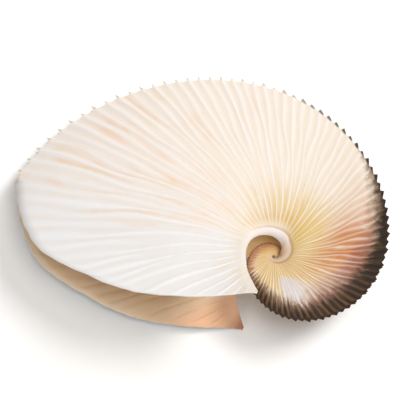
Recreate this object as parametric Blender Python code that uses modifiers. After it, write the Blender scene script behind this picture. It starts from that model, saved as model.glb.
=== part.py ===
# Paper nautilus (argonaut) shell: one thin coiled sheet, ribbed on both flanks, with two rows of
# small teeth along the keel and a wide open mouth with an ear at each side.
# The shell is laid out flat in the plane of its coil: angles go round the coil centre, radii run
# outwards, and local Z is the coil axis. One half is modelled and mirrored at the coil plane.
import math

import bmesh
import bpy
import numpy as np
from mathutils import Vector

MM = 0.001

# Driving dimensions, in millimetres and degrees. Each pair is (angle round the coil, value).
# Growth goes with the angle: the first chamber is at the small angles, the mouth at the large ones.
KEEL_RADIUS = [(-420, 2.4), (-340, 4.0), (-270, 7.2), (-229, 9.6), (-183, 12.7), (-120, 20.2),
               (-80, 29.0), (-42, 38.9), (-5, 50.2), (42, 65.8), (85, 84.6), (124, 104.9),
               (161, 129.1), (205, 155.0), (250, 185.0)]
EDGE_RADIUS = [(-420, 0.35), (-180, 0.45), (-80, 0.8), (0, 2.2), (43, 3.9), (62, 6.1),
               (101, 8.6), (122, 9.8), (146, 12.1), (168, 14.5), (191, 16.9), (205, 18.6),
               (218, 21.2), (232, 24.4), (243, 28.2), (250, 31.0)]
HALF_WIDTH = [(-420, 1.0), (-300, 1.9), (-200, 3.1), (-120, 4.6), (-60, 6.4), (0, 9.0), (60, 13.0),
              (120, 17.2), (163, 21.3), (200, 26.0), (225, 31.0), (243, 36.4), (250, 39.0)]
# how far the wall dips into the umbilicus at its inner edge, as a share of the half width
EDGE_DIP = [(-420, 0.4), (-300, 0.75), (-60, 0.75), (0, 0.72), (50, 0.70), (80, 0.56),
            (105, 0.36), (130, 0.20), (160, 0.06), (180, 0.0), (250, 0.0)]
# half width over the flank, as a share, from the umbilical edge (0) to the keel (1)
FLANK = [(0.0, 0.95), (0.04, 1.0), (0.12, 1.02), (0.25, 1.01), (0.41, 0.90), (0.59, 0.73),
         (0.79, 0.48), (0.9, 0.29), (1.0, 0.0)]
# radius of the mouth's rim over the angle: from the end of the keel to the tip of the ear
LIP_RADIUS = [(163, 131.0), (164, 130.4), (172, 123.2), (180, 112.6), (188, 93.0), (198, 73.2),
              (210, 52.2), (225, 37.2), (236, 31.0), (243, 28.8), (250, 28.0)]
KEEL_HALF_FLAT = (0.48, 0.016)      # half width of the flat keel: start, and share of the radius
TOOTH_PITCH = [(-420, 16), (-200, 9), (-120, 7), (-70, 5.4), (-20, 4.4), (0, 4.2), (30, 3.85),
               (57, 3.6), (90, 3.3), (110, 3.1), (163, 3.1), (172, 3.9), (250, 3.9)]
TOOTH_HEIGHT = 0.34                 # of the tooth's own pitch along the keel
RIB_HEIGHT = 0.13                   # of the rib's own pitch
RIB_SWEEP = [(0.0, -1.5), (0.08, -2.5), (0.2, -4.5), (0.4, -3.0), (0.65, -1.0), (0.85, -0.5),
             (1.0, 0.0)]
LAST_TOOTH = 161.1
EARLY_STEP = 24                     # degrees between stations where the coil is too small for ribs
EARLY_END = -116
EAR_END = 244.6                     # the last station, at the tip of the ear
BEAD_WIDTH = 3.8                    # the rolled rim round the umbilicus
BEAD_HEIGHT = 0.5
WALL = 1.1                          # wall thickness at the mouth
WALL_EARLY = 0.3                    # share of it in the first whorl
FLANK_ROWS = (0.28, 0.6, 0.86, 1.0)
REST_AXIS = (-0.039, 0.246)          # the coil axis as the shell lies on one ear and one flank


def smooth(stations, log=False):
    """A smooth curve through the stations that never overshoots between them."""
    x = np.array([s[0] for s in stations], float)
    y = np.array([s[1] for s in stations], float)
    if log:
        y = np.log(y)
    h = np.diff(x)
    d = np.diff(y) / h
    m = np.zeros(len(x))
    for i in range(1, len(x) - 1):
        if d[i - 1] * d[i] > 0:
            a, b = 2 * h[i] + h[i - 1], h[i] + 2 * h[i - 1]
            m[i] = (a + b) / (a / d[i - 1] + b / d[i])
    m[0], m[-1] = d[0], d[-1]

    def value(t):
        t = min(max(t, x[0]), x[-1])
        i = min(int(np.searchsorted(x, t, side="right")) - 1, len(h) - 1)
        s = (t - x[i]) / h[i]
        v = (y[i] * (1 + 2 * s) * (1 - s) ** 2 + h[i] * m[i] * s * (1 - s) ** 2
             + y[i + 1] * s * s * (3 - 2 * s) + h[i] * m[i + 1] * s * s * (s - 1))
        return math.exp(v) if log else float(v)

    return value


keel_radius = smooth(KEEL_RADIUS, log=True)
edge_radius = smooth(EDGE_RADIUS, log=True)
half_width = smooth(HALF_WIDTH, log=True)
edge_dip = smooth(EDGE_DIP)
flank = smooth(FLANK)
lip_radius = smooth(LIP_RADIUS)
tooth_pitch = smooth(TOOTH_PITCH)
rib_sweep = smooth(RIB_SWEEP)


def keel_flat(phi):
    return KEEL_HALF_FLAT[0] + KEEL_HALF_FLAT[1] * keel_radius(phi)


def bead_share(phi):
    return min(BEAD_WIDTH / (keel_radius(phi) - edge_radius(phi)), 0.12)


def height(phi, u):
    """Distance from the coil plane."""
    flat = keel_flat(phi)
    z = flat + (half_width(phi) - flat) * flank(u)
    fall = max(0.0, 1 - u / 0.22)
    return z * (1 - edge_dip(phi) * fall * fall)


def point(column, u, crest):
    """A point on the outside of the shell; crest is 1 on a rib and 0 in a groove."""
    phi = column + rib_sweep(u)
    outer, inner = keel_radius(phi), edge_radius(phi)
    rho = inner + (outer - inner) * u
    z = height(phi, u)
    pitch = math.radians(tooth_pitch(column)) * rho
    ribbed = min(max((u - 0.08) / 0.2, 0.0), 1.0)
    early = min(max((phi + 170) / 60, 0.0), 1.0)
    z += (crest - 0.4) * RIB_HEIGHT * min(pitch, 6.0) * ribbed * early
    if u == 1:
        rho += crest * TOOTH_HEIGHT * math.radians(tooth_pitch(column)) * outer
    bead = min(u / bead_share(phi), 1.0)
    z += BEAD_HEIGHT * early * math.sin(math.pi * bead)
    return rho * math.cos(math.radians(phi)), rho * math.sin(math.radians(phi)), z


def lip_share(column):
    """Where this column meets the rim of the mouth, as a share of the flank."""
    low, high = 0.0, 1.0
    for _ in range(40):
        u = (low + high) / 2
        phi = column + rib_sweep(u)
        rho = edge_radius(phi) + (keel_radius(phi) - edge_radius(phi)) * u
        if rho > lip_radius(phi):
            high = u
        else:
            low = u
    return (low + high) / 2


def columns():
    """Pairs of (angle at the keel, crest) from the first chamber to the tip of the ear."""
    teeth = [LAST_TOOTH]
    while teeth[0] > EARLY_END:
        teeth.insert(0, teeth[0] - tooth_pitch(teeth[0]))
    while teeth[-1] < EAR_END - 4:
        teeth.append(teeth[-1] + tooth_pitch(teeth[-1]))
    first = teeth[0]
    early = np.arange(-420, first - EARLY_STEP * 0.4, EARLY_STEP)
    out = [(float(t), 0.5) for t in early]
    for t in teeth:
        out.append((t, 1.0))
        out.append((t + 0.36 * tooth_pitch(t), 0.0))
    out.append((EAR_END, 0.5))
    return out


def half_shell(name):
    """One half of the outside, open at the coil plane."""
    stations = columns()
    rows = len(FLANK_ROWS) + 3
    bm = bmesh.new()
    bmesh.ops.create_grid(bm, x_segments=len(stations) - 1, y_segments=rows - 1, size=1.0)
    deform = bm.verts.layers.deform.verify()
    for vert in bm.verts:
        i = round((vert.co.x + 1) / 2 * (len(stations) - 1))
        j = round((vert.co.y + 1) / 2 * (rows - 1))
        column, crest = stations[i]
        corner = 1.0
        bead = 0.55 * bead_share(column)
        if column > 163:
            end = max(lip_share(column), 0.012)
            share = (0.0, min(bead / end, 0.2), 0.24, 0.44, 0.66, 0.86, 1.0)[j]
            x, y, z = point(column, end * share, crest)
            corner = min(0.35 + 2.5 * end, 1.0)
        elif j == rows - 1:
            x, y, z = point(column, 1.0, 0.35 * crest)
            z = 0.0
        else:
            x, y, z = point(column, ((0.0, bead) + FLANK_ROWS)[j], crest)
        if i == 0:
            x, y, z = 1.2 * math.cos(math.radians(column)), 1.2 * math.sin(math.radians(column)), 0.0
        vert.co = (x * MM, y * MM, z * MM)
        grown = min(max((column + 330) / 240, 0.0), 1.0)
        near_edge = 0.55 + 0.45 * min(max((column - 20) / 80, 0.0), 1.0) if j < 2 else 1.0
        vert[deform][0] = (WALL_EARLY + (1 - WALL_EARLY) * grown) * near_edge * corner
    bmesh.ops.remove_doubles(bm, verts=bm.verts, dist=1e-7)
    if sum(f.normal.z * f.calc_area() for f in bm.faces) < 0:
        bmesh.ops.reverse_faces(bm, faces=bm.faces)
    mesh = bpy.data.meshes.new(name)
    bm.to_mesh(mesh)
    bm.free()
    return mesh


def shell_material():
    material = bpy.data.materials.new("argonaut shell, thin calcite")
    material.use_nodes = True
    surface = material.node_tree.nodes["Principled BSDF"]
    surface.inputs["Base Color"].default_value = (0.86, 0.79, 0.68, 1.0)
    surface.inputs["Roughness"].default_value = 0.45
    surface.inputs["Metallic"].default_value = 0.0
    return material


def lay_down(shell):
    """Turn the shell to the way it lies, and set it on the floor under its own middle."""
    axis = Vector((REST_AXIS[0], REST_AXIS[1],
                   math.sqrt(1 - REST_AXIS[0] ** 2 - REST_AXIS[1] ** 2)))
    turn = Vector((0, 0, 1)).rotation_difference(axis)
    shell.rotation_euler = turn.to_euler()
    bpy.context.view_layer.update()
    seen = shell.evaluated_get(bpy.context.evaluated_depsgraph_get())
    corners = np.array([seen.matrix_world @ v.co for v in seen.data.vertices])
    low, high = corners.min(axis=0), corners.max(axis=0)
    shell.location = (-(low[0] + high[0]) / 2, -(low[1] + high[1]) / 2, -low[2])


def main():
    for item in list(bpy.data.objects):
        bpy.data.objects.remove(item, do_unlink=True)
    collection = bpy.data.collections.new("paper_nautilus_shell")
    bpy.context.scene.collection.children.link(collection)

    shell = bpy.data.objects.new("shell", half_shell("shell"))
    collection.objects.link(shell)
    shell.data.materials.append(shell_material())
    shell.vertex_groups.new(name="wall")

    mirror = shell.modifiers.new("other half", "MIRROR")
    mirror.use_axis = (False, False, True)
    mirror.merge_threshold = 0.00001
    wall = shell.modifiers.new("wall", "SOLIDIFY")
    wall.thickness = WALL * MM
    wall.offset = -1
    wall.use_even_offset = False
    wall.vertex_group = "wall"
    wall.thickness_vertex_group = 0.0

    lay_down(shell)


main()
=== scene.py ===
import math

import bmesh
import bpy
import numpy as np
from mathutils import Matrix, Vector


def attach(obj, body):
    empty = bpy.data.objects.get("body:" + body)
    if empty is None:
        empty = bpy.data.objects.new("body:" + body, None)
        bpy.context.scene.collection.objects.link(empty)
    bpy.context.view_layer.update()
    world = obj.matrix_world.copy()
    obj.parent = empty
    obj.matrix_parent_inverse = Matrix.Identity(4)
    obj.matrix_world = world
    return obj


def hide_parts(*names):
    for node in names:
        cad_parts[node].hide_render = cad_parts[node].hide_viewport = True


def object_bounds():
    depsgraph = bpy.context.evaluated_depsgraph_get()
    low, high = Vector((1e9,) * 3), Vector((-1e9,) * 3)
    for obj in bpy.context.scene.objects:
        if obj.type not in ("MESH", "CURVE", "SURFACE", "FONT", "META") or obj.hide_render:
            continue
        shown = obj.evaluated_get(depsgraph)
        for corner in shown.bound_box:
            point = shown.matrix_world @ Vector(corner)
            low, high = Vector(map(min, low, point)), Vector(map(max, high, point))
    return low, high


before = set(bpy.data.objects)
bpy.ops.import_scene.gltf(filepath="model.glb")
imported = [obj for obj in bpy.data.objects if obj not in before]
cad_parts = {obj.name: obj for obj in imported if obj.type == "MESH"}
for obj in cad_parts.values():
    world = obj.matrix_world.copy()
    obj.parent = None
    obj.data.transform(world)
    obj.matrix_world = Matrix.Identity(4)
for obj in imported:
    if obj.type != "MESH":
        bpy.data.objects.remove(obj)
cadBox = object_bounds()
mm = 0.001


def linearColour(hexCode):
    # an sRGB hex colour as the linear values that Blender works in
    parts = [int(hexCode[i:i + 2], 16) / 255 for i in (1, 3, 5)]
    return [p / 12.92 if p <= 0.04045 else ((p + 0.055) / 1.055) ** 2.4 for p in parts] + [1.0]


def smoothCurve(stations, log=False):
    # a curve through the stations that never overshoots; takes and gives arrays
    x = np.array([s[0] for s in stations], float)
    y = np.array([s[1] for s in stations], float)
    y = np.log(y) if log else y
    h = np.diff(x)
    d = np.diff(y) / h
    m = np.zeros(len(x))
    for i in range(1, len(x) - 1):
        if d[i - 1] * d[i] > 0:
            a, b = 2 * h[i] + h[i - 1], h[i] + 2 * h[i - 1]
            m[i] = (a + b) / (a / d[i - 1] + b / d[i])
    m[0], m[-1] = d[0], d[-1]

    def value(t):
        t = np.clip(np.asarray(t, float), x[0], x[-1])
        i = np.clip(np.searchsorted(x, t, side="right") - 1, 0, len(h) - 1)
        s = (t - x[i]) / h[i]
        v = (y[i] * (1 + 2 * s) * (1 - s) ** 2 + h[i] * m[i] * s * (1 - s) ** 2
             + y[i + 1] * s * s * (3 - 2 * s) + h[i] * m[i + 1] * s * s * (s - 1))
        return np.exp(v) if log else v

    return value


def ease(low, high, t):
    # rises smoothly from 0 at low to 1 at high; low may be the larger, and then it falls
    s = np.clip((t - low) / (high - low), 0, 1)
    return s * s * (3 - 2 * s)


# the shell's form: angles in degrees round the coil, lengths in millimetres; each pair is
# (angle, value), and growth goes with the angle, from the first chamber to the tip of the ear
shellForm = {
    "keelRadius": [(-420, 2.4), (-340, 4.0), (-270, 7.2), (-229, 9.6), (-183, 12.7), (-120, 20.2),
                   (-80, 29.0), (-42, 38.9), (-5, 50.2), (42, 65.8), (85, 84.6), (124, 104.9),
                   (161, 129.1), (205, 155.0), (250, 185.0)],
    "edgeRadius": [(-420, 0.35), (-180, 0.45), (-80, 0.8), (0, 2.2), (43, 3.9), (62, 6.1),
                   (101, 8.6), (122, 9.8), (146, 12.1), (168, 14.5), (191, 16.9), (205, 18.6),
                   (218, 21.2), (232, 24.4), (243, 28.2), (250, 31.0)],
    "halfWidth": [(-420, 1.0), (-300, 1.9), (-200, 3.1), (-120, 4.6), (-60, 6.4), (0, 9.0),
                  (60, 13.0), (120, 17.2), (163, 21.3), (200, 26.0), (225, 31.0), (243, 36.4),
                  (250, 39.0)],
    "edgeDip": [(-420, 0.4), (-300, 0.75), (-60, 0.75), (0, 0.72), (50, 0.70), (80, 0.56),
                (105, 0.36), (130, 0.20), (160, 0.06), (180, 0.0), (250, 0.0)],
    "flank": [(0.0, 0.95), (0.04, 1.0), (0.12, 1.02), (0.25, 1.01), (0.41, 0.90), (0.59, 0.73),
              (0.79, 0.48), (0.9, 0.305), (1.0, 0.05)],
    "lipRadius": [(163, 131.0), (164, 130.4), (172, 123.2), (180, 112.6), (188, 93.0), (198, 73.2),
                  (210, 52.2), (225, 37.2), (236, 31.3), (243, 29.4), (250, 28.6)],
    "toothPitch": [(-420, 12), (-300, 9), (-200, 6.6), (-120, 6.6), (-70, 5.4), (-20, 4.4), (0, 4.2),
                   (30, 3.85), (57, 3.6), (90, 3.3), (110, 3.1), (163, 3.1), (172, 3.3), (250, 3.3)],
    "ribSweep": [(0.0, -1.5), (0.08, -2.5), (0.2, -4.5), (0.4, -3.0), (0.65, -1.0), (0.85, -0.5),
                 (1.0, 0.0)],
    "keelFlat": (0.48, 0.016),     # half width of the flat keel: start, share of the radius
    "firstTooth": -405,
    "lastTooth": 161.1,
    "keelEnd": 163,                # past this angle the flank ends at the lip, with no keel
    "earEnd": 244.4,
    "toothHeight": 0.41,           # of its pitch along the keel
    "toothFoot": 1.5,              # how far in from the keel a tooth starts to rise
    "ribHeight": 0.115,            # of the rib's pitch
    "ribTallest": 0.52,
    "ribColumns": (0.0, 0.07, 0.16, 0.28, 0.42, 0.58, 0.78, 0.91),
    "earlyEnd": -150,              # the coil is small up to here, and takes fewer columns
    "earlyColumns": (0.0, 0.2, 0.45, 0.75),
    "beadWidth": [(-420, 0.3), (-300, 0.7), (-240, 1.5), (-180, 2.0), (-120, 2.2), (-40, 3.2),
                  (0, 4.2), (30, 4.7), (60, 4.5), (100, 3.9), (140, 3.6), (250, 3.4)],
    "beadHeight": 1.1,             # of the rolled rim round the umbilicus
    "beadRows": (0.0, 0.06, 0.2, 0.4, 0.6, 0.8, 1.0),
    "flankRows": 18,
    "apexShift": (-1.2, 0.9),      # the coil's middle sits to one side of the later whorl's
    "apexReach": 6.5,
    "wall": 0.7,
    "boxSpare": (0.08, 0.08, 0.0),             # the wall's rim stands a little proud at the sides
    "restLean": (-0.039, 0.246),               # lean of the coil axis as the shell lies
    "restPlace": (34.57, -27.88, 28.64),       # where the coil centre then stands
}

keelRadius = smoothCurve(shellForm["keelRadius"], log=True)
edgeRadius = smoothCurve(shellForm["edgeRadius"], log=True)
halfWidth = smoothCurve(shellForm["halfWidth"], log=True)
edgeDip = smoothCurve(shellForm["edgeDip"])
flankShape = smoothCurve(shellForm["flank"])
lipRadius = smoothCurve(shellForm["lipRadius"])
toothPitch = smoothCurve(shellForm["toothPitch"])
ribSweep = smoothCurve(shellForm["ribSweep"])
beadWidth = smoothCurve(shellForm["beadWidth"])

# how far each marking goes as the shell grows: (angle round the coil, amount); lengths in cm
markings = {
    "coolness": [(128, 0), (150, 0.45), (168, 1)],
    # the shell's cream, darkened with painted shade where the body whorl faces the lamp
    "creamAndShade": [(20, 0), (36, 0.8), (55, 0.9), (72, 0.45), (90, 0.15), (110, 0)],
    "peachBase": [(90, 0), (120, 0.3), (142, 1), (160, 0.7), (175, 0)],
    "peachStreaks": [(70, 0), (110, 0.5), (140, 1), (165, 0.8), (178, 0)],
    "tanReach": [(-400, 0.95), (-120, 0.9), (-55, 0.66), (0, 0.70), (40, 0.54), (70, 0.38),
                 (125, 0.18), (170, 0.02)],
    "tanOffRim": [(40, 0), (80, 0.8), (150, 0.8), (180, 0)],
    "orangeTurn": [(-75, 0), (-40, 0.25), (-24, 0.4), (-10, 0.85), (0, 1), (18, 0.95), (30, 0.5),
                   (42, 0.2), (54, 0)],
    "patch": [(-95, 0), (-78, 0.95), (-58, 0.95), (-50, 0.5), (-36, 0)],
    "patchNear": [(-88, 1.3), (-80, 0.92), (-70, 0.85), (-60, 0.95), (-52, 1.4), (-42, 1.7),
                  (-34, 1.9)],
    "patchFar": [(-92, 1.6), (-80, 1.75), (-70, 1.95), (-60, 2.05), (-50, 2.1), (-34, 2.0)],
    "darkWidth": [(-420, 0.02), (-230, 0.06), (-150, 0.16), (-120, 0.44), (-100, 0.54), (-90, 0.50),
                  (-80, 0.58), (-70, 0.58), (-60, 0.60), (-50, 0.82), (-40, 0.90), (-30, 0.98),
                  (-20, 1.04), (-10, 0.96), (0, 0.84), (10, 0.68), (20, 0.57), (30, 0.34), (40, 0.10),
                  (50, -0.15), (62, -0.6)],
    "smokeReach": [(-170, 0.2), (-112, 0.5), (-80, 0.6), (-65, 0.5), (-50, 0.9), (-40, 1.15),
                   (-30, 1.3), (-10, 1.1), (10, 0.9), (30, 0.9), (50, 0.5), (70, 0.2)],
    "smokeRust": [(-100, 0.1), (-60, 0.6), (-45, 1), (0, 0.9), (12, 0.4), (30, 0)],
    "toothDark": [(-200, 1), (56, 0.95), (70, 0.8), (84, 0.6), (110, 0.45), (166, 0.7)],
    "crestPale": [(-190, 0.1), (-100, 0.22), (-60, 0.30), (-20, 0.27), (22, 0.28), (50, 0.62),
                  (80, 0.8), (250, 0.7)],
    "rim": [(-330, 0), (-270, 1), (120, 1), (170, 0.55), (240, 0.3)],
    # how strong the painted shade in the crease outside the rolled rim is
    "creaseShadeTurn": [(-170, 0), (-110, 0.8), (-50, 0.75), (40, 0.65), (110, 0.35), (150, 0)],
}


def leanTurn(lean):
    # the turn that leans an upright coil axis over by this much in X and Y
    a, b = lean
    axis = Vector((a, b, math.sqrt(1 - a * a - b * b)))
    return Vector((0, 0, 1)).rotation_difference(axis).to_matrix()


def growthStations():
    # fine columns along the growth: eight to a rib, closest together at its crest; the count
    # is a whole number on each crest
    f = shellForm
    teeth = [f["lastTooth"]]
    while teeth[0] > f["firstTooth"]:
        teeth.insert(0, teeth[0] - float(toothPitch(teeth[0])))
    while teeth[-1] < f["earEnd"] - 1.0:
        teeth.append(teeth[-1] + float(toothPitch(teeth[-1])))
    angles, count = [], []
    for k, t in enumerate(teeth):
        nextTooth = t + float(toothPitch(t))
        for part in (f["earlyColumns"] if t < f["earlyEnd"] else f["ribColumns"]):
            angle = t + part * (nextTooth - t)
            if angle < f["earEnd"]:
                angles.append(angle)
                count.append(k + part)
    angles.append(f["earEnd"])
    count.append(count[-1] + 0.4)
    return np.array(angles), np.array(count)


def noiseWave(a, b, seed):
    # smooth unevenness between about -1 and 1, the same in each run
    return (np.sin(a * 1.31 + b * 2.17 + seed) + np.sin(a * 2.73 - b * 1.41 + seed * 1.7)
            + 0.6 * np.sin(a * 4.9 + b * 3.7 + seed * 2.3)) / 2.6


def ribProfile(count, share, phi):
    # 1 on a crest, 0 in a groove; every second rib stops short on the way to the umbilicus
    part = count - np.floor(count)
    crest = np.round(count)
    # crests are thin by the umbilicus and broad at the mouth
    narrow = (1.7 + 1.3 * ease(0.75, 0.25, share)) * (1 - 0.5 * ease(135, 180, phi))
    shape = (0.5 + 0.5 * np.cos(2 * np.pi * part)) ** narrow
    odd = np.mod(crest, 2)
    stop = 0.44 + 0.10 * np.sin(crest * 2.4) + 0.05 * np.sin(crest * 5.1)
    fade = 1 - odd * (1 - ease(stop - 0.12, stop + 0.10, share)) * ease(5, 45, phi)
    unevenness = 0.86 + 0.22 * np.sin(crest * 1.9 + share * 3.0)
    return shape * fade * unevenness


def toothProfile(count, phi):
    part = count - np.floor(count)
    thin = ease(70, 125, phi)             # broad pointed teeth turn to thin thorns
    lean = ease(-10, 30, phi)             # and lean the way the shell grows
    front = np.clip(1 - part / (0.42 - 0.14 * lean - 0.13 * thin), 0, 1) ** (1 + 0.2 * thin)
    wide = 0.5 + 0.08 * lean - 0.28 * thin
    back = np.clip((part - 1 + wide) / wide, 0, 1) ** (1.0 + 1.3 * thin)
    return np.maximum(front, back) * (1 + 0.2 * thin)


def lipShare(angle):
    # how far over the flank a column meets the lip, found by halving
    low, high = np.zeros_like(angle), np.ones_like(angle)
    for _ in range(30):
        u = (low + high) / 2
        phi = angle + ribSweep(u)
        rho = edgeRadius(phi) + (keelRadius(phi) - edgeRadius(phi)) * u
        over = rho > lipRadius(phi)
        high, low = np.where(over, u, high), np.where(over, low, u)
    return (low + high) / 2


def keelHalf(radius):
    # half width of the flat keel
    start, grows = shellForm["keelFlat"]
    return start + grows * radius


def flankShares(angle, count):
    # how far over the flank each row stands, from 0 at the umbilicus to 1 at the keel, with
    # where the rolled rim and the column end
    f = shellForm
    pastKeel = angle > f["keelEnd"]
    unevenLip = 1 + 0.002 * np.sin(count * 2 * np.pi) + 0.0025 * noiseWave(count * 0.9, 0, 1.0)
    reach = np.where(pastKeel, np.maximum(lipShare(angle), 0.012) * unevenLip, 1.0)
    flankRows = np.linspace(0, 1, f["flankRows"] + 1)[1:]
    flankRows = flankRows * 0.86 + 0.14 * (1 - (1 - flankRows) ** 2.2)     # closer near the keel
    span = keelRadius(angle) - edgeRadius(angle)
    bead = np.minimum(np.minimum(beadWidth(angle) / span, 0.16), 0.5 * reach)
    share = np.concatenate([bead[:, None] * np.array(f["beadRows"]),
                            bead[:, None] + (reach - bead)[:, None] * flankRows], axis=1)
    share = np.clip(share, 0, 1)
    # the last row but one is the foot of the teeth
    foot = np.maximum(share[:, -2], 1 - f["toothFoot"] / span)
    share[:, -2] = np.where(pastKeel, share[:, -2], foot)
    return share, bead[:, None], reach[:, None]


def shellPoints():
    # arrays of (column, row): place in millimetres and what the finish reads
    f = shellForm
    angle, count = growthStations()
    share, bead, reach = flankShares(angle, count)
    angleAt = angle[:, None] + np.zeros_like(share)
    countAt = count[:, None] + np.zeros_like(share)
    pitch = toothPitch(angleAt)

    # the ribs sweep back and wander between the rim and the keel; they run straight and
    # flatten as they reach the lip, which keeps it even
    wander = noiseWave(share * 3.1, countAt * 0.33, 0.7) + 0.45 * np.sin(13.0 * share - 2.3 * countAt)
    wobble = pitch * 0.32 * wander * 4 * share * (1 - share) * ease(-140, -40, angleAt)
    towardsLip = ease(0.7, 1.0, share / reach) * (angleAt > f["keelEnd"])
    wobble = wobble * (1 - 0.85 * towardsLip)
    phi = angleAt + ribSweep(share) + wobble

    # the plain coil
    outer, inner = keelRadius(phi), edgeRadius(phi)
    rho = inner + (outer - inner) * share
    keelGap = outer - rho
    flat = keelHalf(outer)
    z = flat + (halfWidth(phi) - flat) * flankShape(share)
    fall = np.clip(1 - share / 0.22, 0, 1)
    z = z * (1 - edgeDip(phi) * fall ** 2)

    # ribs, from where the rolled rim ends; faint on the first whorls and bold at the mouth
    across = share / np.maximum(bead, 1e-6)          # 0 at the rim's free edge, 1 where it ends
    ribbed = ease(1.0, 1.5 + 0.8 * ease(110, 170, angleAt), across)
    crest = ribProfile(countAt, share, phi)
    ribPitch = np.radians(pitch) * rho
    rise = np.minimum(f["ribHeight"] * ribPitch, f["ribTallest"])
    rise = rise * (0.25 + 0.75 * ease(-190, -90, phi)) * (1 + 0.7 * ease(150, 195, phi))
    lift = (crest - 0.35) * rise * ribbed * (1 - 0.6 * towardsLip)

    # teeth along the keel, uneven in height and a little shorter at the keel's end
    tooth = toothProfile(countAt, phi) * f["toothHeight"] * np.radians(pitch) * outer
    tooth = tooth * np.clip((166 - phi) / 8, 0.75, 1)
    tooth = tooth * (0.85 + 0.2 * np.sin(np.round(countAt) * 2.9))
    atKeel = ease(1 - f["toothFoot"] / (outer - inner), 1.0, share) * (angleAt <= f["keelEnd"])
    rho = rho + tooth * atKeel
    z = z + lift * (1 - 0.6 * atKeel)
    rho = rho + lift * 0.5 * ease(0.7, 1.0, share) * (1 - atKeel)

    # slow swells in the middle of the flank
    swell = 0.22 * noiseWave(phi * 0.06, share * 4, 3.0)
    z = z + swell * ease(0.1, 0.3, share) * ease(1.0, 0.8, share) * ease(-330, -60, phi)

    # the rolled rim: a round bead with a crease outside it and a free edge that turns under;
    # it flattens as the shell grows and ends before the ear
    beforeEar = ease(225, 190, phi)
    rolled = 0.5 * ease(-330, -200, phi) + 0.5 * ease(-130, 10, phi)
    rolled = rolled * (1 - 0.75 * ease(80, 150, phi)) * beforeEar
    roll = np.sin(np.pi * np.clip(across, 0, 1) ** 0.8)
    crease = 0.30 * np.exp(-((across - 1.12) / 0.2) ** 2)
    turnedUnder = 0.6 * ease(0.25, 0.0, across) * ease(-60, 30, phi) * beforeEar
    z = z + f["beadHeight"] * (roll - crease) * rolled - turnedUnder

    nearApex = np.exp(-(rho / f["apexReach"]) ** 2)
    x = rho * np.cos(np.radians(phi)) + f["apexShift"][0] * nearApex
    y = rho * np.sin(np.radians(phi)) + f["apexShift"][1] * nearApex

    # angles in hundreds of degrees, the gap to the keel in centimetres, ribs in tens; rimAcross
    # is 0.25 where the rolled rim ends, and toothPart 1 on a tooth 3 mm high
    facts = {"growth": phi / 100, "flankShare": share, "keelGap": keelGap / 10,
             "ribCrest": crest * ribbed * ease(-260, -150, phi), "ribCount": countAt / 10,
             "rimAcross": np.minimum(across, 4) / 4, "toothPart": tooth * atKeel / 3}
    for name, stations in markings.items():
        facts[name] = np.interp(phi, *zip(*stations))

    # two more rows cross the flat keel down to the coil plane, each a little further in
    crossRows = []
    for part, drop in ((0.55, 0.25), (0.0, 0.4)):
        radius = keelRadius(angle) - drop * (0.4 + keelRadius(angle) / 160)
        crossRows.append((radius * np.cos(np.radians(angle)), radius * np.sin(np.radians(angle)),
                          part * keelHalf(keelRadius(angle))))
    return x, y, z, facts, angle, crossRows


def keepInside(bm):
    # nudges the finished surface inside the box of the solid model, a fraction of a millimetre
    for axis, spare in enumerate(shellForm["boxSpare"]):
        low = min(v.co[axis] for v in bm.verts)
        high = max(v.co[axis] for v in bm.verts)
        boxLow, boxHigh = cadBox[0][axis] + spare * mm, cadBox[1][axis] - spare * mm
        scale = min(1.0, (boxHigh - boxLow) / (high - low))
        start = min(max(low, boxLow), boxHigh - (high - low) * scale)
        for v in bm.verts:
            v.co[axis] = start + (v.co[axis] - low) * scale


def wallShare(angle, rowsToLip):
    # the wall thickens as the shell grows, and thins again in the last two rows at the lip
    firstWhorls = 0.3 + 0.7 * min(max((angle + 330) / 240, 0.0), 1.0)
    bodyWhorl = 0.6 + 0.4 * min(max((angle - 20) / 80, 0.0), 1.0)
    atLip = 0.55 + 0.45 * min(rowsToLip / 2, 1.0) if angle > shellForm["keelEnd"] else 1.0
    return firstWhorls * bodyWhorl * atLip


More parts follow.
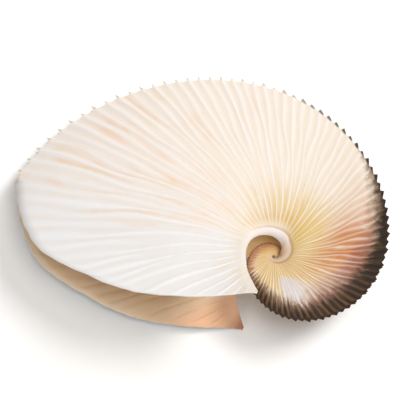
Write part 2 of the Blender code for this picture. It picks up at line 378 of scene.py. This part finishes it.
def buildShell():
    # half of the shell is a bent grid; the mirror makes the other flank
    x, y, z, facts, angle, crossRows = shellPoints()
    columns, rows = x.shape
    keelColumns = int(np.sum(angle <= shellForm["keelEnd"]))
    bm = bmesh.new()
    bmesh.ops.create_grid(bm, x_segments=columns - 1, y_segments=rows + 1, size=1.0)
    layers = {name: bm.verts.layers.float.new(name) for name in facts}
    thickness = bm.verts.layers.deform.verify()
    keelRow = bm.verts.layers.float.new("keelRow")
    pastKeel = []
    for vert in bm.verts:
        i = round((vert.co.x + 1) / 2 * (columns - 1))
        j = round((vert.co.y + 1) / 2 * (rows + 1))
        if j >= rows and i >= keelColumns:
            pastKeel.append(vert)
            continue
        readRow = min(j, rows - 1)
        if i == 0:                       # the first chamber closes to a point in the coil plane
            vert.co = (x[0].mean(), y[0].mean(), 0.0)
            readRow = 0
        elif j < rows:
            vert.co = (x[i, j], y[i, j], z[i, j])
        else:
            vert.co = [along[i] for along in crossRows[j - rows]]
        for name, layer in layers.items():
            vert[layer] = float(facts[name][i, readRow])
        vert[keelRow] = 1.0 if j == rows - 1 and i < keelColumns else 0.0
        if j >= rows:                    # the flat of the keel has no ribs or teeth
            vert[layers["toothPart"]] = 0.0
            vert[layers["ribCrest"]] = 0.0
        vert[thickness][0] = wallShare(angle[i], rows - 1 - j)
    bmesh.ops.delete(bm, geom=pastKeel, context="VERTS")
    for edge in bm.edges:                # the keel's two edges stay crisp
        if all(v[keelRow] > 0.5 for v in edge.verts):
            edge.smooth = False
    bmesh.ops.mirror(bm, geom=bm.verts[:] + bm.edges[:] + bm.faces[:], matrix=Matrix(),
                     merge_dist=0.002, axis="Z")
    bmesh.ops.remove_doubles(bm, verts=bm.verts, dist=0.0005)
    bmesh.ops.recalc_face_normals(bm, faces=bm.faces)
    outward = sum(face.normal.z * face.calc_area() * (1 if face.calc_center_median().z > 0 else -1)
                  for face in bm.faces)
    if outward < 0:
        bmesh.ops.reverse_faces(bm, faces=bm.faces)
    turn = leanTurn(shellForm["restLean"]).to_4x4()
    place = Matrix.Translation(Vector(shellForm["restPlace"]) * mm) @ turn @ Matrix.Scale(mm, 4)
    bmesh.ops.transform(bm, matrix=place, verts=bm.verts)
    keepInside(bm)
    mesh = bpy.data.meshes.new("argonautShell")
    bm.to_mesh(mesh)
    bm.free()
    for polygon in mesh.polygons:
        polygon.use_smooth = True
    piece = bpy.data.objects.new("argonautShell", mesh)
    bpy.context.scene.collection.objects.link(piece)
    piece.vertex_groups.new(name="wallShare")
    wall = piece.modifiers.new("wall", "SOLIDIFY")
    wall.thickness = shellForm["wall"] * mm
    wall.offset = -1
    wall.use_rim = True
    wall.material_offset = 1             # the inner face has a finish of its own
    wall.material_offset_rim = 0
    wall.vertex_group = "wallShare"
    return piece


print("shell: growing the coil")
shell = buildShell()
print("shell faces", len(shell.data.polygons))


finish = {
    "groove": "#eee1d3",
    "grooveCreamShaded": "#e5d5c0",
    "groovePeach": "#eee1d6",
    # painted shade: the grooves between the broad ribs at the mouth are greyed
    "grooveCoolShaded": "#e6e2df",
    "crest": "#f4eae4",
    "crestCool": "#edebea",
    "yellowTan": "#d6b369",
    "peach": "#eec3a4",
    "straw": "#e6d3a0",
    "orange": "#c07741",
    "redOrange": "#a35031",
    "rust": "#8f5c43",
    "smoke": "#86684c",
    "dark": "#2a1c12",
    # painted highlight for the crests in the dark keel band
    "darkCrestHighlight": "#6d4c32",
    "olive": "#54461f",
    "patchWhite": "#d6ccc8",
    "earlyBrown": "#bd8660",
    "beadWhite": "#ece2dc",
    "beadTan": "#d8bda4",
    "thornTip": "#b3ab88",
    # painted shade: the shadow line in the crease outside the rolled rim
    "crease": "#a98d80",
    "innerTan": "#f5dcc2",
    # painted light: a bright warm tan for the deep coil and the umbilicus, in place of light reaching
    # there
    "innerPaintedLight": "#ffdeac",
    "innerOrange": "#efbf9b",
    "innerRust": "#a4664f",
}


def addNode(tree, kind, inputs, settings=None, output=0):
    # inputs go by name or number, each a value or another node's output
    node = tree.nodes.new(kind)
    for name, value in (settings or {}).items():
        setattr(node, name, value)
    for key, value in inputs.items():
        if isinstance(value, bpy.types.NodeSocket):
            tree.links.new(value, node.inputs[key])
        else:
            node.inputs[key].default_value = value
    return node.outputs[output] if node.outputs else node


def calcite(name, roughness):
    # argonaut shell: thin calcite laid down in growth ribs, matt to satin, a little light
    # goes through it; the eye gets soft white crests, warmer grooves and a dark, smoky keel
    material = bpy.data.materials.new(name)
    material.use_nodes = True
    tree = material.node_tree
    tree.nodes.clear()
    surface = addNode(tree, "ShaderNodeBsdfPrincipled", {
        "Roughness": roughness, "IOR": 1.48, "Metallic": 0.0, "Specular IOR Level": 0.25,
        "Subsurface Weight": 0.3, "Subsurface Scale": 0.0016, "Subsurface Radius": (1.0, 0.9, 0.8)})
    addNode(tree, "ShaderNodeOutputMaterial", {"Surface": surface})
    return material, tree, surface.node


def runSteps(tree, values, steps):
    # each step is a name, an operation and what goes in: numbers, colours or earlier names;
    # STEP rises smoothly from 0 to 1 between its two limits, MIX lays a colour over another
    for name, operation, *sources in steps:
        sources = [values[s] if s in values else s for s in sources]
        sources = [linearColour(finish[s]) if isinstance(s, str) else s for s in sources]
        if operation == "STEP":
            values[name] = addNode(tree, "ShaderNodeMapRange",
                                   dict(zip(("Value", "From Min", "From Max"), sources)),
                                   {"interpolation_type": "SMOOTHSTEP"})
        elif operation == "MIX":
            values[name] = addNode(tree, "ShaderNodeMix", dict(zip((0, 6, 7), sources)),
                                   {"data_type": "RGBA"}, 2)
        else:
            values[name] = addNode(tree, "ShaderNodeMath", dict(enumerate(sources)),
                                   {"operation": operation})


def outsideFinish():
    material, tree, surface = calcite("calcite, ribbed and satin", 0.5)
    facts = ("growth", "flankShare", "keelGap", "ribCrest", "ribCount", "rimAcross", "toothPart")
    values = {name: addNode(tree, "ShaderNodeAttribute", {}, {"attribute_name": name}, "Fac")
              for name in (*facts, *markings)}
    spot = addNode(tree, "ShaderNodeTexCoord", {}, output="Object")

    # noise drawn out along the ribs, as growth lines are: repeats a rib, repeats a centimetre,
    # detail; a rib is 2 to 7 mm wide, so the streaks are 1 to 7 mm wide and 4 to 50 mm long,
    # and the growth lines about half a millimetre wide
    ribNoises = {"streak": (0.9, 0.55, 3.0), "longStreak": (1.3, 0.20, 2.0),
                 "fineStreak": (2.3, 2.4, 2.0), "growthLines": (6.0, 0.5, 2.0)}
    for seed, (name, (aRib, aCentimetre, detail)) in enumerate(ribNoises.items()):
        runSteps(tree, values, [("u", "MULTIPLY", "ribCount", aRib * 10),
                                ("v", "MULTIPLY", "keelGap", aCentimetre)])
        vector = addNode(tree, "ShaderNodeCombineXYZ",
                         {"X": values["u"], "Y": values["v"], "Z": 1.0 + 4 * seed})
        values[name] = addNode(tree, "ShaderNodeTexNoise", {
            "Vector": vector, "Scale": 1.0, "Detail": detail, "Roughness": 0.6})
    # clouds in the calcite, by their size in millimetres, and a seed for each
    for name, size, seed in (("patchy", 16.0, 3.0), ("grain", 1.2, 4.0)):
        values[name] = addNode(tree, "ShaderNodeTexNoise", {
            "Vector": spot, "Scale": 1000 / size, "Detail": 3.0, "W": seed},
            {"noise_dimensions": "4D"})

    runSteps(tree, values, [
        # grooves from cream to cool white at the mouth, with a peach cast between; the cool grooves
        # are partly the shell's cool white and partly painted shade between the broad ribs
        ("base", "MIX", "coolness", "groove", "grooveCoolShaded"),
        # a darker cream from 20° to 110°: partly the shell's own cream and partly painted shade on
        # the part that faces the lamp
        ("base", "MIX", "creamAndShade", "base", "grooveCreamShaded"),
        ("peachCast", "MULTIPLY", "peachBase", 0.75),
        ("base", "MIX", "peachCast", "base", "groovePeach"),
        ("crestColour", "MIX", "coolness", "crest", "crestCool"),
        # crests a shade paler than the grooves everywhere
        ("pale", "MULTIPLY", "ribCrest", "crestPale"),
        # long peach and straw streaks on the older part of the body whorl
        ("peachAt", "STEP", "longStreak", 0.46, 0.66),
        ("peachAt", "MULTIPLY", "peachAt", "peachStreaks"),
        ("peachCloud", "STEP", "patchy", 0.36, 0.60),
        ("peachAt", "MULTIPLY", "peachAt", "peachCloud"),
        ("peachAt", "MULTIPLY", "peachAt", 0.6),
        ("base", "MIX", "peachAt", "base", "peach"),
        ("strawAt", "STEP", "streak", 0.54, 0.70),
        ("strawAt", "MULTIPLY", "strawAt", "peachStreaks"),
        ("strawAt", "MULTIPLY", "strawAt", 0.4),
        ("base", "MIX", "strawAt", "base", "straw"),
        # warm tan round the umbilicus, in the grooves
        ("tanAt", "MULTIPLY_ADD", "streak", 0.35, -0.175),
        ("tanAt", "ADD", "tanAt", "tanReach"),
        ("tanAt", "SUBTRACT", "tanAt", "flankShare"),
        ("tanAt", "STEP", "tanAt", -0.16, 0.34),
        ("inGroove", "MULTIPLY_ADD", "ribCrest", -0.82, 1.0),
        ("tanAt", "MULTIPLY", "tanAt", "inGroove"),
        ("nearRim", "STEP", "rimAcross", 0.62, 0.26),
        ("nearRim", "MULTIPLY", "nearRim", "tanOffRim"),
        ("offRim", "SUBTRACT", 1.0, "nearRim"),
        ("tanAt", "MULTIPLY", "tanAt", "offRim"),
        ("base", "MIX", "tanAt", "base", "yellowTan"),
        # orange on the right of the coil, between the tan and the keel
        ("orangeFar", "STEP", "keelGap", 4.4, 2.2),
        ("orangeNear", "STEP", "keelGap", 0.3, 1.0),
        ("orangeAt", "MULTIPLY", "orangeFar", "orangeNear"),
        ("orangeAt", "MULTIPLY", "orangeAt", "orangeTurn"),
        ("orangeStreaks", "STEP", "streak", 0.20, 0.46),
        ("orangeAt", "MULTIPLY", "orangeAt", "orangeStreaks"),
        ("lessOnCrest", "MULTIPLY_ADD", "ribCrest", -0.5, 1.0),
        ("orangeOnRibs", "MULTIPLY", "orangeAt", "lessOnCrest"),
        ("redTurn", "STEP", "growth", 0.20, 0.02),
        ("redAt", "STEP", "keelGap", 2.0, 1.4),
        ("redAt", "MULTIPLY", "redAt", "redTurn"),
        ("orangeColour", "MIX", "redAt", "orange", "redOrange"),
        ("base", "MIX", "orangeOnRibs", "base", "orangeColour"),
        # a bare white patch low on the coil, with ragged edges
        ("patchGap", "MULTIPLY_ADD", "fineStreak", -0.7, 0.35),
        ("patchGap", "ADD", "patchGap", "keelGap"),
        ("patchIn", "SUBTRACT", "patchGap", "patchNear"),
        ("patchIn", "STEP", "patchIn", -0.2, 0.16),
        ("patchOut", "SUBTRACT", "patchGap", "patchFar"),
        ("patchOut", "STEP", "patchOut", 0.26, -0.16),
        ("patchAt", "MULTIPLY", "patchIn", "patchOut"),
        ("patchAt", "MULTIPLY", "patchAt", "patch"),
        ("base", "MIX", "patchAt", "base", "patchWhite"),
        # paler crests, kept off the orange
        ("paleOff", "MULTIPLY_ADD", "orangeAt", -0.75, 1.0),
        ("pale", "MULTIPLY", "pale", "paleOff"),
        ("base", "MIX", "pale", "base", "crestColour"),
        # rust and smoke inside the dark keel, broken by the pale crests
        ("ragged", "MULTIPLY_ADD", "fineStreak", 0.9, -0.45),
        ("raggedCrest", "MULTIPLY_ADD", "ribCrest", 0.12, "ragged"),
        ("edge", "SUBTRACT", "darkWidth", "keelGap"),
        ("edge", "SUBTRACT", "edge", "raggedCrest"),
        ("smokeEnd", "MULTIPLY", "smokeReach", -1.1),
        ("smokeAt", "STEP", "edge", "smokeEnd", 0.0),
        ("beyondDark", "STEP", "edge", 0.1, -0.5),
        ("crestOut", "MULTIPLY", "ribCrest", "beyondDark"),
        ("crestOut", "MULTIPLY_ADD", "crestOut", -0.4, 1.0),
        ("smokeAt", "MULTIPLY", "smokeAt", "crestOut"),
        ("smokeAt", "MULTIPLY", "smokeAt", 0.9),
        ("smokeColour", "MIX", "smokeRust", "smoke", "rust"),
        ("base", "MIX", "smokeAt", "base", "smokeColour"),
        # painted highlight: lighter brown on the crests in the dark keel band, standing in for light
        # on the ribs
        ("darkCrestHighlightAt", "STEP", "growth", 0.05, -0.35),
        ("darkCrestHighlightAt", "MULTIPLY", "darkCrestHighlightAt", "ribCrest"),
        ("darkColour", "MIX", "darkCrestHighlightAt", "dark", "darkCrestHighlight"),
        ("oliveAt", "STEP", "streak", 0.5, 0.72),
        ("oliveAt", "MULTIPLY", "oliveAt", 0.5),
        ("darkColour", "MIX", "oliveAt", "darkColour", "olive"),
        ("darkAt", "STEP", "edge", -0.34, 0.34),
        ("base", "MIX", "darkAt", "base", "darkColour"),
        # the first whorls are a plain brown, with a dark dot at each tooth
        ("brownTurn", "STEP", "growth", -1.2, -1.9),
        ("brownIn", "STEP", "growth", -2.4, -1.7),
        ("brownIn", "MULTIPLY_ADD", "brownIn", 0.6, 0.02),
        ("brownAt", "STEP", "flankShare", "brownIn", 0.86),
        ("brownAt", "MULTIPLY", "brownAt", "brownTurn"),
        ("brownAt", "MULTIPLY", "brownAt", 0.85),
        ("base", "MIX", "brownAt", "base", "earlyBrown"),
        ("ribTurn", "MULTIPLY", "ribCount", 20 * math.pi),      # one turn for each rib
        ("ribTurn", "COSINE", "ribTurn"),
        ("dotAt", "STEP", "ribTurn", 0.1, 0.7),
        ("dotGap", "STEP", "keelGap", 0.07, 0.03),
        ("dotAt", "MULTIPLY", "dotAt", "dotGap"),
        ("dotTurn", "STEP", "growth", -1.2, -1.6),
        ("dotAt", "MULTIPLY", "dotAt", "dotTurn"),
        ("base", "MIX", "dotAt", "base", "dark"),
        # dark teeth on the right, thin greenish tips on the thorns further on
        ("thornTurn", "STEP", "growth", 0.72, 1.0),
        ("toothAt", "MULTIPLY_ADD", "thornTurn", -0.22, "toothPart"),
        ("toothAt", "STEP", "toothAt", 0.06, 0.22),
        ("toothAt", "MULTIPLY", "toothAt", "toothDark"),
        ("toothColour", "MIX", "thornTurn", "dark", "thornTip"),
        ("base", "MIX", "toothAt", "base", "toothColour"),
        # the smooth rolled rim, with painted shade in the crease where the ribs begin
        ("creaseShadeIn", "STEP", "rimAcross", 0.205, 0.265),
        ("creaseShadeOut", "STEP", "rimAcross", 0.36, 0.275),
        ("creaseShadeAt", "MULTIPLY", "creaseShadeIn", "creaseShadeOut"),
        ("creaseShadeAt", "MULTIPLY", "creaseShadeAt", "creaseShadeTurn"),
        ("base", "MIX", "creaseShadeAt", "base", "crease"),
        ("rimTan", "STEP", "growth", 0.95, 0.15),
        ("rimColour", "MIX", "rimTan", "beadWhite", "beadTan"),
        ("rimAt", "STEP", "rimAcross", 0.275, 0.235),
        ("rimAt", "MULTIPLY", "rimAt", "rim"),
        ("base", "MIX", "rimAt", "base", "rimColour"),
        # growth lines finer than the ribs
        ("relief", "MULTIPLY", "grain", 0.4),
        ("relief", "ADD", "relief", "growthLines"),
    ])
    tree.links.new(values["base"], surface.inputs["Base Color"])
    # the growth lines stand about a tenth of a millimetre high
    bump = addNode(tree, "ShaderNodeBump", {"Height": values["relief"], "Strength": 0.25,
                                            "Distance": 0.4 * mm})
    tree.links.new(bump, surface.inputs["Normal"])
    return material


def insideFinish():
    # the inner face is smooth and a little glossier; it turns orange at the ears
    material, tree, surface = calcite("calcite, smooth inner face", 0.42)
    values = {name: addNode(tree, "ShaderNodeAttribute", {}, {"attribute_name": name}, "Fac")
              for name in ("growth", "flankShare", "ribCrest")}
    spot = addNode(tree, "ShaderNodeTexCoord", {}, output="Object")
    # faint clouds about 22 mm across
    values["cloud"] = addNode(tree, "ShaderNodeTexNoise", {"Vector": spot, "Scale": 45.0,
                                                           "Detail": 3.0})
    runSteps(tree, values, [
        # orange at the ear, rust at its very tip
        ("earAt", "MULTIPLY_ADD", "cloud", 0.1, "growth"),
        ("earAt", "STEP", "earAt", 1.98, 2.20),
        ("colour", "MIX", "earAt", "innerTan", "innerOrange"),
        ("tipAt", "STEP", "growth", 2.26, 2.42),
        ("tipAt", "MULTIPLY", "tipAt", 0.8),
        ("colour", "MIX", "tipAt", "colour", "innerRust"),
        # painted light: a brighter, warmer tan deep in the coil and along the umbilicus stands in for
        # light reaching into the gap
        ("deepLightTurn", "STEP", "growth", 1.2, 0.3),
        ("deepLightAt", "STEP", "flankShare", 0.5, 0.2),
        ("deepLightAt", "MAXIMUM", "deepLightAt", "deepLightTurn"),
        ("mouthTurn", "STEP", "growth", 2.1, 1.8),
        ("deepLightAt", "MULTIPLY", "deepLightAt", "mouthTurn"),
        ("colour", "MIX", "deepLightAt", "colour", "innerPaintedLight"),
        # painted light: the same bright tan over each rib crest, as light showing through the thin
        # wall at the ribs
        ("crestLightAt", "MULTIPLY", "ribCrest", 0.35),
        ("colour", "MIX", "crestLightAt", "colour", "innerPaintedLight"),
    ])
    tree.links.new(values["colour"], surface.inputs["Base Color"])
    bump = addNode(tree, "ShaderNodeBump", {"Height": values["cloud"], "Strength": 0.1,
                                            "Distance": 0.5 * mm})
    tree.links.new(bump, surface.inputs["Normal"])
    return material


print("shell: laying on the finishes")
shell.data.materials.append(outsideFinish())
shell.data.materials.append(insideFinish())
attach(shell, "root")
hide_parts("shell")


studio = {
    "floorColour": "#fbfaf8",
    "floorSize": 6.0,
    "skyStrength": 0.18,
    "lamps": {                            # power in watts, size and place in metres
        "softBox": (14.9, 0.55, (0.66, 0.62, 1.36)),
        "overhead": (13.3, 0.8, (0.09, 0.24, 1.73)),
        "mouthFill": (3.3, 0.5, (-0.55, -0.95, 0.40)),
    },
    "lampsAimAt": (0, 0, 0.03),
    "cameraLean": (0.0702, 0.3112),       # lean of the coil axis as the camera sees it
    "pictureWidth": 400,                  # in pixels, as are the next two
    "coilInPicture": (275.5, 258.5),
    "distance": 1700,
    "pixel": 0.48 * mm,
    "sensorWidth": 36.0,
}


def makeFloor():
    bm = bmesh.new()
    bmesh.ops.create_grid(bm, x_segments=1, y_segments=1, size=studio["floorSize"] / 2)
    mesh = bpy.data.meshes.new("studioFloor")
    bm.to_mesh(mesh)
    bm.free()
    floor = bpy.data.objects.new("studioFloor", mesh)
    bpy.context.scene.collection.objects.link(floor)
    material = bpy.data.materials.new("white card")
    material.use_nodes = True
    surface = material.node_tree.nodes["Principled BSDF"]
    surface.inputs["Base Color"].default_value = linearColour(studio["floorColour"])
    surface.inputs["Roughness"].default_value = 0.9
    mesh.materials.append(material)


def makeLight():
    world = bpy.data.worlds.new("studioSky")
    bpy.context.scene.world = world
    world.use_nodes = True
    sky = world.node_tree.nodes["Background"]
    sky.inputs["Color"].default_value = (1.0, 1.0, 1.0, 1.0)
    sky.inputs["Strength"].default_value = studio["skyStrength"]
    for name, (power, size, place) in studio["lamps"].items():
        data = bpy.data.lights.new(name, "AREA")
        data.shape = "DISK"
        data.size = size
        data.energy = power
        lamp = bpy.data.objects.new(name, data)
        bpy.context.scene.collection.objects.link(lamp)
        lamp.location = place
        aim = Vector(studio["lampsAimAt"]) - Vector(place)
        lamp.rotation_euler = aim.to_track_quat("-Z", "Y").to_euler()


def makeCamera():
    seen = leanTurn(studio["cameraLean"])
    turn = leanTurn(shellForm["restLean"])
    coilX, coilY = studio["coilInPicture"]
    middle = studio["pictureWidth"] / 2
    fromCoil = seen.transposed() @ Vector((middle - coilX, coilY - middle, studio["distance"]))
    data = bpy.data.cameras.new("camera")
    data.sensor_width = studio["sensorWidth"]
    data.lens = studio["sensorWidth"] * studio["distance"] / studio["pictureWidth"]
    camera = bpy.data.objects.new("camera", data)
    bpy.context.scene.collection.objects.link(camera)
    place = Vector(shellForm["restPlace"]) * mm + turn @ fromCoil * studio["pixel"]
    camera.matrix_world = Matrix.Translation(place) @ (turn @ seen.transposed()).to_4x4()
    bpy.context.scene.camera = camera


print("studio: floor, light, camera")
makeFloor()
makeLight()
makeCamera()
bpy.context.scene.view_settings.view_transform = "Standard"
